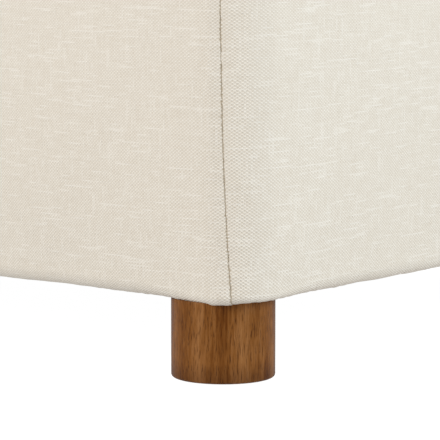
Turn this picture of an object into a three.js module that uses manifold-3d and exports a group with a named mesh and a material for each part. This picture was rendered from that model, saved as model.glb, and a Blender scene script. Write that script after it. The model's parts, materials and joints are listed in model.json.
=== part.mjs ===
// Storage ottoman: an upholstered box on four turned feet, with a padded lid that swings up
// on two butt hinges and is held by two folding stays.
// Millimetres, +Z up, front towards -Y, origin on the floor under the middle of the box.
import * as THREE from 'three';
import { mergeVertices } from 'three/addons/utils/BufferGeometryUtils.js';
import Module from 'manifold-3d';

const wasm = await Module();
wasm.setup();

// Overall size
const WIDTH = 760;
const DEPTH = 520;
const HEIGHT = 440;
const CORNER_RADIUS = 33;
const FIT = 0.3;

// Levels
const LEG_TOP = 50;
const BODY_LOW = 50.4;
const BODY_HIGH = 352;
const LID_LOW = 356;
const HINGE_LEVEL = (BODY_HIGH + LID_LOW) / 2;

// Layers, from the outside in
const CLOTH = 1.2;
const FOAM_OUTER = CLOTH + FIT;
const BOARD_INSET = 10;
const FOAM_INNER = BOARD_INSET - FIT;
const BOARD = 15;
const CAVITY_INSET = BOARD_INSET + BOARD;
const EDGE_RADIUS = 10;
const TURN_IN = 22;
const RIM_TURN_IN = CAVITY_INSET + 1;
const SEAM_ANGLE = 24 * Math.PI / 180;

// Frame boards
const BASE_LOW = 52;
const BASE_HIGH = BASE_LOW + BOARD;
const PANEL_LOW = BASE_HIGH + FIT;
const PANEL_HIGH = BODY_HIGH - CLOTH - FIT;
const POST_SIZE = CORNER_RADIUS - BOARD_INSET;
const LINER = 0.8;
const LINER_RADIUS = 14;
const LINER_HIGH = PANEL_HIGH - 1.4;
const SHEET_INSET = TURN_IN + 2;

// Lid
const LID_BOARD_LOW = LID_LOW + CLOTH + 0.4;
const LID_BOARD_HIGH = LID_BOARD_LOW + BOARD;
const LID_SEAM = 416;
const LID_EDGE_RADIUS = 16;
const CROWN = HEIGHT - LID_SEAM - LID_EDGE_RADIUS;
const CROWN_FLAT_INSET = 190;
const LEAST_RING_RADIUS = 12;

// Feet
const LEG_RADIUS = 31.75;
const LEG_FILLET = 3;
const LEG_INSET_X = 42;
const LEG_INSET_Y = 32.5;
const LEG_LOW = 0.8;
const GLIDE_RADIUS = 20;
const GLIDE_HEIGHT = 3;
const BOLT_RADIUS = 4;
const BOLT_LOW = 20;
const BOLT_HIGH = 66;
const NUT_BARREL_RADIUS = 5.5;
const NUT_FLANGE_RADIUS = 10;
const NUT_FLANGE = 1.5;

// Hinges
const HINGE_X = 220;
const HINGE_LENGTH = 64;
const HINGE_Y = DEPTH / 2 - 4;
const KNUCKLE_RADIUS = 3;
const KNUCKLE_LENGTH = 20;
const HINGE_PIN_RADIUS = 1.3;
const LEAF = 1.2;
const LEAF_FRONT_Y = 230;

// Folding stays: the arms and the hinge line make a parallelogram, seen along X
const STAY_BODY_PIVOT = { y: 205, z: 206 };
const STAY_LID_PIVOT = { y: 106, z: 340 };
const STAY_ELBOW = {
  y: STAY_BODY_PIVOT.y + STAY_LID_PIVOT.y - HINGE_Y,
  z: STAY_BODY_PIVOT.z + STAY_LID_PIVOT.z - HINGE_LEVEL,
};
const ARM = 2.5;
const ARM_HALF_WIDTH = 8;
const LOWER_ARM_X = 343;
const UPPER_ARM_X = 339.8;
const RIVET_RADIUS = 3;
const RIVET_HEAD_RADIUS = 6;
const RIVET_HEAD = 1.5;
const RIVET_PLAY = 0.5;
const RIVET_HOLE_RADIUS = 3.3;
const LOOSE_HOLE_RADIUS = 3.6;

// Facets: of a quarter arc, of a round body, and of one whose radius is small
const ARC_STEPS = 4;
const CORNER_STEP = 12 * Math.PI / 180;
const ROUND_STEPS = 24;
const SMALL_STEPS = 12;
const SMALL_RADIUS = 8;

function stepsFor(radius) {
  return radius > SMALL_RADIUS ? ROUND_STEPS : SMALL_STEPS;
}

function material(color, roughness, metalness = 0) {
  return new THREE.MeshStandardMaterial({ color, roughness, metalness });
}

const LINEN = material(0xe0d9cc, 0.95);
const LINING = material(0xb9b0a2, 0.95);
const DUST_CLOTH = material(0x2a2a2b, 0.95);
const FOAM = material(0xece4c4, 0.9);
const WALNUT = material(0x7b4f2a, 0.45);
const PLYWOOD = material(0xc9a877, 0.7);
const ZINC = material(0xb8bcc0, 0.35, 1);
const FELT = material(0x3a3733, 0.95);
const RUBBER = material(0x222222, 0.8);

const group = new THREE.Group();

function add(name, geometry, look) {
  const mesh = new THREE.Mesh(geometry, look);
  mesh.name = name;
  group.add(mesh);
}

// Closed bodies

function signedVolume(position, index) {
  const a = new THREE.Vector3();
  const b = new THREE.Vector3();
  const c = new THREE.Vector3();
  let sum = 0;
  for (let i = 0; i < index.length; i += 3) {
    a.fromBufferAttribute(position, index[i]);
    b.fromBufferAttribute(position, index[i + 1]);
    c.fromBufferAttribute(position, index[i + 2]);
    sum += a.dot(b.cross(c));
  }
  return sum / 6;
}

function closedBody(geometry) {
  geometry.deleteAttribute('normal');
  geometry.deleteAttribute('uv');
  const merged = mergeVertices(geometry, 1e-4);
  const all = Array.from(merged.index.array);
  const kept = [];
  for (let i = 0; i < all.length; i += 3) {
    const [a, b, c] = all.slice(i, i + 3);
    if (a !== b && b !== c && a !== c) kept.push(a, b, c);
  }
  if (signedVolume(merged.attributes.position, kept) < 0) kept.reverse();
  merged.setIndex(kept);
  merged.computeVertexNormals();
  return merged;
}

function toSolid(geometry) {
  const body = closedBody(geometry);
  return new wasm.Manifold(new wasm.Mesh({
    numProp: 3,
    vertProperties: new Float32Array(body.attributes.position.array),
    triVerts: new Uint32Array(body.index.array),
  }));
}

function fromSolid(solid) {
  const mesh = solid.getMesh();
  const geometry = new THREE.BufferGeometry();
  geometry.setAttribute('position', new THREE.BufferAttribute(mesh.vertProperties, 3));
  geometry.setIndex(new THREE.BufferAttribute(mesh.triVerts, 1));
  geometry.computeVertexNormals();
  return geometry;
}

function cut(geometry, tools) {
  let solid = toSolid(geometry);
  for (const tool of tools) solid = solid.subtract(toSolid(tool));
  return fromSolid(solid);
}

function join(pieces) {
  let solid = toSolid(pieces[0]);
  for (const piece of pieces.slice(1)) solid = solid.add(toSolid(piece));
  return fromSolid(solid);
}

// A box from its two corners
function boxBetween(low, high) {
  const size = high.map((value, axis) => value - low[axis]);
  const geometry = new THREE.BoxGeometry(...size);
  geometry.translate(...low.map((value, axis) => value + size[axis] / 2));
  return geometry;
}

// A cylinder along Z or X from start to end
function rod(radius, start, end, alongX = false) {
  const geometry = new THREE.CylinderGeometry(radius, radius, end - start, stepsFor(radius));
  geometry.translate(0, (start + end) / 2, 0);
  if (alongX) return geometry.rotateZ(-Math.PI / 2);
  return geometry.rotateX(Math.PI / 2);
}

// A turned body: the profile is [radius, height] pairs from axis to axis
function turned(profile, steps) {
  const points = profile.map(([radius, height]) => new THREE.Vector2(radius, height));
  return new THREE.LatheGeometry(points, steps).rotateX(Math.PI / 2);
}

// Points of an arc in any plane, from one angle to another
function arc(centreU, centreV, radius, from, to, steps = ARC_STEPS) {
  const points = [];
  for (let i = 0; i <= steps; i += 1) {
    const angle = from + (to - from) * i / steps;
    points.push([centreU + radius * Math.cos(angle), centreV + radius * Math.sin(angle)]);
  }
  return points;
}

// Plan outline of the ottoman, set in by a distance, as a closed rounded rectangle
function outline(inset, radius = Math.max(CORNER_RADIUS - inset, LEAST_RING_RADIUS)) {
  const x = WIDTH / 2 - inset - radius;
  const y = DEPTH / 2 - inset - radius;
  const quarter = Math.PI / 2;
  return [
    ...arc(x, y, radius, 0, quarter),
    ...arc(-x, y, radius, quarter, 2 * quarter),
    ...arc(-x, -y, radius, 2 * quarter, 3 * quarter),
    ...arc(x, -y, radius, 3 * quarter, 4 * quarter),
  ];
}

function plate(points, low, high, holes = []) {
  const shape = new THREE.Shape(points.map(([x, y]) => new THREE.Vector2(x, y)));
  for (const [x, y, radius] of holes) {
    const hole = new THREE.Path();
    hole.absarc(x, y, radius, 0, 2 * Math.PI, true);
    shape.holes.push(hole);
  }
  const options = { depth: high - low, bevelEnabled: false, curveSegments: SMALL_STEPS / 2 };
  return new THREE.ExtrudeGeometry(shape, options).translate(0, 0, low);
}

// Turns a plate drawn in (y, z) and thick along Z into one that stands up and is thick along X
function standUp(geometry) {
  const y = new THREE.Vector3(0, 1, 0);
  const z = new THREE.Vector3(0, 0, 1);
  const x = new THREE.Vector3(1, 0, 0);
  return geometry.applyMatrix4(new THREE.Matrix4().makeBasis(y, z, x));
}

// Triangles that fill a loop of plane points, wound the way the loop runs
function filled(points) {
  const loop = points.map(([u, v]) => new THREE.Vector2(u, v));
  const triangles = THREE.ShapeUtils.triangulateShape(loop, []);
  if (THREE.ShapeUtils.isClockWise(loop)) triangles.forEach((corners) => corners.reverse());
  return triangles;
}

// Skin between successive loops of the same number of points
function skinned(loops, caps, closeAround) {
  const size = loops[0].length;
  const positions = loops.flat(2);
  const index = [];
  const strips = closeAround ? loops.length : loops.length - 1;
  for (let i = 0; i < strips; i += 1) {
    const here = i * size;
    const there = ((i + 1) % loops.length) * size;
    for (let j = 0; j < size; j += 1) {
      const next = (j + 1) % size;
      index.push(here + j, here + next, there + next);
      index.push(here + j, there + next, there + j);
    }
  }
  for (const [a, b, c] of caps) {
    index.push(c, b, a);
    const last = (loops.length - 1) * size;
    index.push(last + a, last + b, last + c);
  }
  const geometry = new THREE.BufferGeometry();
  geometry.setAttribute('position', new THREE.Float32BufferAttribute(positions, 3));
  geometry.setIndex(index);
  return closedBody(geometry);
}

// A body from rounded rectangles stacked as [inset, height] pairs, capped at both ends
function stacked(profile, radiusOf) {
  const loops = profile.map(([inset, height]) => {
    const points = outline(inset, radiusOf ? radiusOf(inset) : undefined);
    return points.map(([x, y]) => [x, y, height]);
  });
  return skinned(loops, filled(loops[0]), false);
}

// A body from one [inset, height] section carried all the way round the outline
function wrapped(section) {
  const loops = section.map(([inset, height]) => outline(inset).map(([x, y]) => [x, y, height]));
  return skinned(loops, [], true);
}

// A body from an [inset, height] section carried along one side of the outline and part of the
// way round the corner at each end. The side faces -Y before it is turned.
function sideWrap(section, halfLength, halfDepth, cornerAngle, turn) {
  const straight = halfLength - CORNER_RADIUS;
  const level = -(halfDepth - CORNER_RADIUS);
  const steps = Math.ceil(cornerAngle / CORNER_STEP);
  const stations = [];
  for (let i = 0; i <= steps; i += 1) {
    const angle = -Math.PI / 2 - cornerAngle * (1 - i / steps);
    stations.push([-straight, level, Math.cos(angle), Math.sin(angle)]);
  }
  for (let i = 0; i <= steps; i += 1) {
    const angle = -Math.PI / 2 + cornerAngle * i / steps;
    stations.push([straight, level, Math.cos(angle), Math.sin(angle)]);
  }
  const loops = stations.map(([x, y, outX, outY]) => section.map(([inset, height]) => {
    const reach = CORNER_RADIUS - inset;
    return [x + outX * reach, y + outY * reach, height];
  }));
  return skinned(loops, filled(section), false).rotateZ(turn);
}

// The four sides: name, turn from the front, and whether it is one of the two long ones
const SIDES = [
  { name: 'front', turn: 0, long: true },
  { name: 'right', turn: Math.PI / 2, long: false },
  { name: 'back', turn: Math.PI, long: true },
  { name: 'left', turn: -Math.PI / 2, long: false },
];

function halfLengths(side) {
  return side.long ? [WIDTH / 2, DEPTH / 2] : [DEPTH / 2, WIDTH / 2];
}

// The four corners, each with its signs
const CORNERS = [
  { name: 'front_right', x: 1, y: -1 },
  { name: 'back_right', x: 1, y: 1 },
  { name: 'back_left', x: -1, y: 1 },
  { name: 'front_left', x: -1, y: -1 },
];

// Box of the ottoman

function basePanel() {
  const tools = [];
  for (const corner of CORNERS) {
    const [x, y] = legCentre(corner);
    tools.push(rod(NUT_BARREL_RADIUS + FIT, BASE_LOW - 1, BASE_HIGH + 1).translate(x, y, 0));
    const pocketLow = BASE_HIGH - NUT_FLANGE - 2 * FIT;
    tools.push(rod(NUT_FLANGE_RADIUS + FIT, pocketLow, BASE_HIGH + 1).translate(x, y, 0));
  }
  add('base_panel', cut(plate(outline(BOARD_INSET), BASE_LOW, BASE_HIGH), tools), PLYWOOD);
}

function sidePanels() {
  for (const side of SIDES) {
    const [halfLength, halfDepth] = halfLengths(side);
    const end = halfLength - CORNER_RADIUS - FIT;
    const low = [-end, -halfDepth + BOARD_INSET, PANEL_LOW];
    const high = [end, -halfDepth + CAVITY_INSET, PANEL_HIGH];
    add(`${side.name}_panel`, boxBetween(low, high).rotateZ(side.turn), PLYWOOD);
  }
}

// Quarter-round posts, their inner corner cut off flush with the panels
function cornerPosts() {
  const flush = CORNER_RADIUS - CAVITY_INSET;
  for (const corner of CORNERS) {
    const x = corner.x * (WIDTH / 2 - CORNER_RADIUS);
    const y = corner.y * (DEPTH / 2 - CORNER_RADIUS);
    const middle = Math.atan2(corner.y, corner.x);
    const quarter = arc(x, y, POST_SIZE, middle - Math.PI / 4, middle + Math.PI / 4);
    const inner = [[x, y + corner.y * flush], [x + corner.x * flush, y]];
    if (corner.x * corner.y < 0) inner.reverse();
    add(`${corner.name}_post`, plate([...quarter, ...inner], PANEL_LOW, PANEL_HIGH), PLYWOOD);
  }
}

function sideFoams() {
  const low = BODY_LOW + EDGE_RADIUS + FIT;
  const high = BODY_HIGH - EDGE_RADIUS - FIT;
  const section = [[FOAM_OUTER, low], [FOAM_OUTER, high], [FOAM_INNER, high], [FOAM_INNER, low]];
  const jointAngle = Math.PI / 4 - 0.01;
  for (const side of SIDES) {
    const [halfLength, halfDepth] = halfLengths(side);
    const foam = sideWrap(section, halfLength, halfDepth, jointAngle, side.turn);
    add(`${side.name}_foam`, foam, FOAM);
  }
}

// Cloth turned under the base and over the rim
function coverSection() {
  const quarter = Math.PI / 2;
  const inner = EDGE_RADIUS - CLOTH;
  const lowCentre = BODY_LOW + EDGE_RADIUS;
  const highCentre = BODY_HIGH - EDGE_RADIUS;
  return [
    [TURN_IN, BODY_LOW],
    ...arc(EDGE_RADIUS, lowCentre, EDGE_RADIUS, -quarter, -2 * quarter),
    ...arc(EDGE_RADIUS, highCentre, EDGE_RADIUS, 2 * quarter, quarter),
    [RIM_TURN_IN, BODY_HIGH],
    [RIM_TURN_IN, BODY_HIGH - CLOTH],
    ...arc(EDGE_RADIUS, highCentre, inner, quarter, 2 * quarter),
    ...arc(EDGE_RADIUS, lowCentre, inner, 2 * quarter, 3 * quarter),
    [TURN_IN, BODY_LOW + CLOTH],
  ];
}

// The front and back covers stop short of the middle of each corner, and the side covers
// reach past it to the seam
function sideCovers() {
  const seamGap = FIT / 2 / (CORNER_RADIUS - RIM_TURN_IN);
  for (const side of SIDES) {
    const [halfLength, halfDepth] = halfLengths(side);
    const angle = (side.long ? SEAM_ANGLE : Math.PI / 2 - SEAM_ANGLE) - seamGap;
    const cover = sideWrap(coverSection(), halfLength, halfDepth, angle, side.turn);
    add(`${side.name}_cover`, cover, LINEN);
  }
}

function storageLiner() {
  const outer = CAVITY_INSET + FIT;
  const inner = outer + LINER;
  const profile = [
    [outer, PANEL_LOW],
    [outer, LINER_HIGH],
    [inner, LINER_HIGH],
    [inner, PANEL_LOW + LINER],
  ];
  const radiusOf = (inset) => LINER_RADIUS - (inset - outer);
  add('storage_liner', stacked(profile, radiusOf), LINING);
}

function dustCover() {
  const holes = CORNERS.map((corner) => [...legCentre(corner), BOLT_RADIUS + 1]);
  const sheet = plate(outline(SHEET_INSET), BODY_LOW + 0.1, BODY_LOW + 0.9, holes);
  add('dust_cover', sheet, DUST_CLOTH);
}

// Feet

function legCentre(corner) {
  return [corner.x * (WIDTH / 2 - LEG_INSET_X), corner.y * (DEPTH / 2 - LEG_INSET_Y)];
}

function leg() {
  const recessTop = GLIDE_HEIGHT + FIT;
  const hole = BOLT_RADIUS + FIT;
  return turned([
    [0, recessTop],
    [GLIDE_RADIUS + FIT, recessTop],
    [GLIDE_RADIUS + FIT, LEG_LOW],
    ...arc(LEG_RADIUS - LEG_FILLET, LEG_LOW + LEG_FILLET, LEG_FILLET, -Math.PI / 2, 0, 3),
    [LEG_RADIUS, LEG_TOP],
    [hole, LEG_TOP],
    [hole, BOLT_LOW - FIT],
    [0, BOLT_LOW - FIT],
  ], ROUND_STEPS);
}

function tNut() {
  const hole = BOLT_RADIUS + FIT;
  const low = BASE_LOW + 3;
  const high = BASE_HIGH - FIT;
  const flangeLow = high - NUT_FLANGE;
  return turned([
    [hole, low],
    [NUT_BARREL_RADIUS, low],
    [NUT_BARREL_RADIUS, flangeLow],
    [NUT_FLANGE_RADIUS, flangeLow],
    [NUT_FLANGE_RADIUS, high],
    [hole, high],
    [hole, low],
  ], SMALL_STEPS);
}

function feet() {
  for (const corner of CORNERS) {
    const [x, y] = legCentre(corner);
    add(`${corner.name}_leg`, closedBody(leg().translate(x, y, 0)), WALNUT);
    const bolt = rod(BOLT_RADIUS, BOLT_LOW, BOLT_HIGH).translate(x, y, 0);
    add(`${corner.name}_hanger_bolt`, bolt, ZINC);
    add(`${corner.name}_t_nut`, closedBody(tNut().translate(x, y, 0)), ZINC);
    const glide = rod(GLIDE_RADIUS, 0, GLIDE_HEIGHT).translate(x, y, 0);
    add(`${corner.name}_glide`, glide, FELT);
  }
}

// Lid

function lidBoard() {
  add('lid_board', plate(outline(BOARD_INSET), LID_BOARD_LOW, LID_BOARD_HIGH), PLYWOOD);
}

// The padded top above the seam, as [inset, height] pairs: a rounded edge, then a low crown
function crownProfile(offset) {
  const low = LID_SEAM + FIT / 2;
  const edge = arc(
    LID_EDGE_RADIUS, LID_SEAM, LID_EDGE_RADIUS - offset, Math.PI, Math.PI / 2,
  ).map(([inset, height]) => [inset, Math.max(height, low)]);
  const top = [];
  const rings = 4;
  for (let i = 1; i <= rings; i += 1) {
    const along = i / rings;
    const inset = LID_EDGE_RADIUS + (CROWN_FLAT_INSET - LID_EDGE_RADIUS) * along;
    const rise = CROWN * (1 - (1 - along) ** 2);
    top.push([inset, LID_SEAM + LID_EDGE_RADIUS + rise - offset]);
  }
  return [...edge, ...top];
}

function lidFoam() {
  const skirtLow = LID_LOW + EDGE_RADIUS + FIT;
  const profile = [
    [BOARD_INSET - FIT, LID_BOARD_HIGH + FIT],
    [BOARD_INSET - FIT, skirtLow],
    [FOAM_OUTER, skirtLow],
    ...crownProfile(FOAM_OUTER),
  ];
  add('lid_foam', stacked(profile), FOAM);
}

function lidBand() {
  const centre = LID_LOW + EDGE_RADIUS;
  const high = LID_SEAM - FIT / 2;
  const quarter = Math.PI / 2;
  add('lid_band', wrapped([
    [TURN_IN, LID_LOW],
    ...arc(EDGE_RADIUS, centre, EDGE_RADIUS, -quarter, -2 * quarter),
    [0, high],
    [CLOTH, high],
    ...arc(EDGE_RADIUS, centre, EDGE_RADIUS - CLOTH, 2 * quarter, 3 * quarter),
    [TURN_IN, LID_LOW + CLOTH],
  ]), LINEN);
}

function lidTopCover() {
  const profile = [...crownProfile(CLOTH).reverse(), ...crownProfile(0)];
  add('lid_top_cover', stacked(profile), LINEN);
}

function lidLining() {
  const sheet = plate(outline(SHEET_INSET), LID_LOW + 0.1, LID_LOW + 0.9);
  add('lid_lining', sheet, LINING);
}

function lidBumpers() {
  for (const [name, side] of [['right', 1], ['left', -1]]) {
    const y = -(DEPTH / 2 - BOARD_INSET - BOARD / 2);
    const bumper = rod(7, BODY_HIGH + FIT, LID_LOW - FIT).translate(side * 300, y, 0);
    add(`${name}_lid_bumper`, bumper, RUBBER);
  }
}

// Hinges, drawn round their own middle on the hinge line

function hingeLeaf(low, knuckleStarts) {
  const half = HINGE_LENGTH / 2;
  const clear = KNUCKLE_RADIUS + 0.5;
  const pieces = [boxBetween([-half, LEAF_FRONT_Y - HINGE_Y, low], [half, -clear, low + LEAF])];
  for (const start of knuckleStarts) {
    const end = start + KNUCKLE_LENGTH;
    pieces.push(boxBetween([start, -clear - 1, low], [end, -1.8, low + LEAF]));
    pieces.push(rod(KNUCKLE_RADIUS, start, end, true));
  }
  return cut(join(pieces), [rod(HINGE_PIN_RADIUS + FIT, -half - 1, half + 1, true)]);
}

function hinges() {
  const half = HINGE_LENGTH / 2;
  const step = (HINGE_LENGTH - KNUCKLE_LENGTH) / 2;
  const bodyLeafLow = BODY_HIGH + FIT - HINGE_LEVEL;
  const lidLeafLow = LID_LOW - FIT - LEAF - HINGE_LEVEL;
  for (const [name, side] of [['right', 1], ['left', -1]]) {
    const place = [side * HINGE_X, HINGE_Y, HINGE_LEVEL];
    const bodyLeaf = hingeLeaf(bodyLeafLow, [-half, -half + 2 * step]);
    add(`${name}_hinge_body_leaf`, bodyLeaf.translate(...place), ZINC);
    const lidLeaf = hingeLeaf(lidLeafLow, [-half + step]);
    add(`${name}_hinge_lid_leaf`, lidLeaf.translate(...place), ZINC);
    const pin = rod(HINGE_PIN_RADIUS, -half, half, true).translate(...place);
    add(`${name}_hinge_pin`, pin, ZINC);
  }
}

// Folding stays

// Moves a body made for the right side to the side wanted
function toSide(geometry, side) {
  return side > 0 ? geometry : closedBody(geometry.scale(-1, 1, 1));
}

function armPlate(from, to, thickFrom, holes) {
  const along = Math.atan2(to.z - from.z, to.y - from.y);
  const half = Math.PI / 2;
  const ends = [
    ...arc(from.y, from.z, ARM_HALF_WIDTH, along + half, along + 3 * half, SMALL_STEPS / 2),
    ...arc(to.y, to.z, ARM_HALF_WIDTH, along - half, along + half, SMALL_STEPS / 2),
  ];
  return standUp(plate(ends, thickFrom, thickFrom + ARM, holes));
}

// A rivet along X with a head at each end
function rivet(pivot, start, end) {
  return join([
    rod(RIVET_RADIUS, start, end, true),
    rod(RIVET_HEAD_RADIUS, start - RIVET_HEAD, start, true),
    rod(RIVET_HEAD_RADIUS, end, end + RIVET_HEAD, true),
  ]).translate(0, pivot.y, pivot.z);
}

// A plate on the side panel with a boss, and a headed stud that the lower arm turns on
function stayBodyBracket() {
  const { y, z } = STAY_BODY_PIVOT;
  const outerX = WIDTH / 2 - CAVITY_INSET - LINER - 2 * FIT;
  const bossX = LOWER_ARM_X + ARM + RIVET_PLAY;
  const headX = LOWER_ARM_X - RIVET_PLAY;
  return join([
    boxBetween([outerX - 2, -14, -30], [outerX, 14, 16]),
    rod(ARM_HALF_WIDTH, bossX, outerX - 1, true),
    rod(RIVET_RADIUS, headX, bossX + 1, true),
    rod(RIVET_HEAD_RADIUS, headX - RIVET_HEAD, headX, true),
  ]).translate(0, y, z);
}

function stayLidBracket() {
  const { y, z } = STAY_LID_PIVOT;
  const high = LID_LOW - FIT;
  const plateLow = high - 1.5;
  const outerX = LOWER_ARM_X + ARM;
  return cut(join([
    boxBetween([outerX - 27, y - 16, plateLow], [outerX, y + 16, high]),
    boxBetween([LOWER_ARM_X, y - 10, z], [outerX, y + 10, high]),
    rod(10, LOWER_ARM_X, outerX, true).translate(0, y, z),
  ]), [rod(RIVET_HOLE_RADIUS, LOWER_ARM_X - 1, outerX + 1, true).translate(0, y, z)]);
}

function stays() {
  const lower = LOWER_ARM_X;
  const upper = UPPER_ARM_X;
  const rivetLow = upper - RIVET_PLAY;
  const rivetHigh = lower + ARM + RIVET_PLAY;
  for (const [name, side] of [['right', 1], ['left', -1]]) {
    const put = (part, geometry, look) => add(`${name}_${part}`, toSide(geometry, side), look);
    const { y: bodyY, z: bodyZ } = STAY_BODY_PIVOT;
    const { y: lidY, z: lidZ } = STAY_LID_PIVOT;
    const { y: elbowY, z: elbowZ } = STAY_ELBOW;
    put('stay_body_bracket', stayBodyBracket(), ZINC);
    put('stay_lower_arm', armPlate(STAY_BODY_PIVOT, STAY_ELBOW, lower, [
      [bodyY, bodyZ, RIVET_HOLE_RADIUS],
      [elbowY, elbowZ, RIVET_HOLE_RADIUS],
    ]), ZINC);
    put('stay_elbow_rivet', rivet(STAY_ELBOW, rivetLow, rivetHigh), ZINC);
    put('stay_upper_arm', armPlate(STAY_ELBOW, STAY_LID_PIVOT, upper, [
      [elbowY, elbowZ, RIVET_HOLE_RADIUS],
      [lidY, lidZ, LOOSE_HOLE_RADIUS],
    ]), ZINC);
    put('stay_lid_rivet', rivet(STAY_LID_PIVOT, rivetLow, rivetHigh), ZINC);
    put('stay_lid_bracket', stayLidBracket(), ZINC);
  }
}

basePanel();
sidePanels();
cornerPosts();
sideFoams();
sideCovers();
storageLiner();
dustCover();
feet();
lidBoard();
lidFoam();
lidBand();
lidTopCover();
lidLining();
lidBumpers();
hinges();
stays();

export default group;
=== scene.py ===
import json
import math
import random

import bmesh
import bpy
import numpy as np
from mathutils import Matrix, Vector


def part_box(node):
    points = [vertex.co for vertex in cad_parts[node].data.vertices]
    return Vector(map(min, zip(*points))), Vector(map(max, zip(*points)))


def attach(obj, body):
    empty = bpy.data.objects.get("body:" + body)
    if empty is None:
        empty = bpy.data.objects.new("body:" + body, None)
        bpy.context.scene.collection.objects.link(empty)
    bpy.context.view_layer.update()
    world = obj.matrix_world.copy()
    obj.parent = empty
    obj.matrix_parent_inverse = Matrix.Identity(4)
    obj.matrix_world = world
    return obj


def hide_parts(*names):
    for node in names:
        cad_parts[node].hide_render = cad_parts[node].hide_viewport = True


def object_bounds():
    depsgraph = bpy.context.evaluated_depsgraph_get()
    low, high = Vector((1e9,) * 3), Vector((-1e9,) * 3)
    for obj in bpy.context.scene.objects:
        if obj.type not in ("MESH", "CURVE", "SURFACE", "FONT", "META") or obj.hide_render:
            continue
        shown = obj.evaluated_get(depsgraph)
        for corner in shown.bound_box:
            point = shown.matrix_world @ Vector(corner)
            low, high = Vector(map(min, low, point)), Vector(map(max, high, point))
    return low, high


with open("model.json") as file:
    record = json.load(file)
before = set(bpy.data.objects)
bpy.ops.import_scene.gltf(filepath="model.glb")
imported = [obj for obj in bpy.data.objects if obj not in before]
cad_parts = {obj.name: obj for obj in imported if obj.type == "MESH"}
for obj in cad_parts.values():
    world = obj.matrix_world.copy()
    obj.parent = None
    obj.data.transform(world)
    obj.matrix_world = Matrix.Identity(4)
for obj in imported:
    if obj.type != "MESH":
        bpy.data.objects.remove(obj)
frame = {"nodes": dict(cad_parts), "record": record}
cad_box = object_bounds()

# Sizes in metres, taken from the frame

HIGH = np.array(cad_box[1])
HALF_X = HIGH[0]
HALF_Y = HIGH[1]
CORNER_RADIUS = HALF_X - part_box("front_right_post")[0].x
BODY_LOW, BODY_HIGH = (corner.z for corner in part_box("front_cover"))
LID_LOW, LID_SEAM = (corner.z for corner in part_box("lid_band"))
LID_TOP = HIGH[2]
CLOTH = 0.0011
SKIN = CLOTH + 0.0006
THIN_CLOTH = 0.0006
BASE_TURN_IN = 0.022
RIM_TURN_IN = 0.026
EDGE_RADIUS = 0.010
CORNER_EDGE_RADIUS = 0.0045

SIDES = [("front", True), ("right", False), ("back", True), ("left", False)]
CORNERS = ["front_right", "back_right", "back_left", "front_left"]
THREAD_PITCH = (0.00114, 0.00103)
QUARTER = math.pi / 2


# Numbers

def smooth(edge0, edge1, x):
    t = np.clip((x - edge0) / (edge1 - edge0), 0, 1)
    return t * t * (3 - 2 * t)


def waves(seed, x, y, wavelength, count=10):
    """A smooth random field of about unit height, from sine waves in random directions."""
    source = random.Random(seed)
    total = np.zeros(np.broadcast(x, y).shape)
    for _ in range(count):
        turn = source.uniform(0, 2 * math.pi)
        length = wavelength * source.uniform(0.7, 1.5)
        phase = source.uniform(0, 2 * math.pi)
        total += np.sin(2 * math.pi / length * (x * math.cos(turn) + y * math.sin(turn)) + phase)
    return total / math.sqrt(count / 2)


def spaced(*stretches):
    """Values along stretches (start, end, steps), each boundary once."""
    values = [stretches[0][0]]
    for start, end, steps in stretches:
        values += list(np.linspace(start, end, steps + 1)[1:])
    return np.array(values)


# Meshes

def link(obj):
    bpy.context.scene.collection.objects.link(obj)
    return obj


def mesh_object(name, vertices, faces, smooth_faces=True):
    mesh = bpy.data.meshes.new(name)
    mesh.from_pydata([tuple(v) for v in vertices], [], [tuple(f) for f in faces])
    mesh.validate()
    mesh.polygons.foreach_set("use_smooth", [smooth_faces] * len(mesh.polygons))
    mesh.update()
    return link(bpy.data.objects.new(name, mesh))


def at_height(plan, height):
    """Plan points given one height, or a height each."""
    height = np.broadcast_to(height, plan.shape[:-1])
    return np.concatenate([plan, height[..., None]], -1)


def grid_faces(rows, columns, wrapped):
    """Quads of a grid of vertices, with the corners of each as (row, column) pairs too."""
    corners = [
        [(row, column), (row, column + 1), (row + 1, column + 1), (row + 1, column)]
        for row in range(rows - 1)
        for column in range(columns if wrapped else columns - 1)
    ]
    faces = [tuple(row * columns + column % columns for row, column in quad) for quad in corners]
    return faces, corners


def grid_object(name, points, weave, wrapped=False, thickness=CLOTH, seam=1.0):
    """A sheet of cloth from a grid of points, with the weave's own coordinates as its UV map.
    weave has one more column than points where the grid closes on itself. seam is each point's
    distance from the nearest seam."""
    rows, columns = points.shape[:2]
    faces, corners = grid_faces(rows, columns, wrapped)
    obj = mesh_object(name, points.reshape(-1, 3), faces)
    nearest = obj.data.attributes.new("seam", "FLOAT", "POINT")
    nearest.data.foreach_set("value", np.broadcast_to(seam, (rows, columns)).ravel() * 1000)
    layer = obj.data.uv_layers.new(name="weave")
    index = np.array(corners).reshape(-1, 2)
    layer.data.foreach_set("uv", weave[index[:, 0], index[:, 1]].astype(np.float32).ravel())
    if thickness:
        thicken(obj, thickness)
    return obj


def apply_modifiers(obj):
    bpy.context.view_layer.update()
    evaluated = obj.evaluated_get(bpy.context.evaluated_depsgraph_get())
    mesh = bpy.data.meshes.new_from_object(evaluated)
    obj.modifiers.clear()
    obj.data = mesh


def thicken(obj, thickness=CLOTH):
    solidify = obj.modifiers.new("thickness", "SOLIDIFY")
    solidify.thickness = thickness
    solidify.offset = -1
    solidify.use_rim = True
    apply_modifiers(obj)


def soften(obj, width):
    bevel = obj.modifiers.new("soft edges", "BEVEL")
    bevel.width = width
    bevel.limit_method = "ANGLE"
    bevel.segments = 2
    apply_modifiers(obj)


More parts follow.
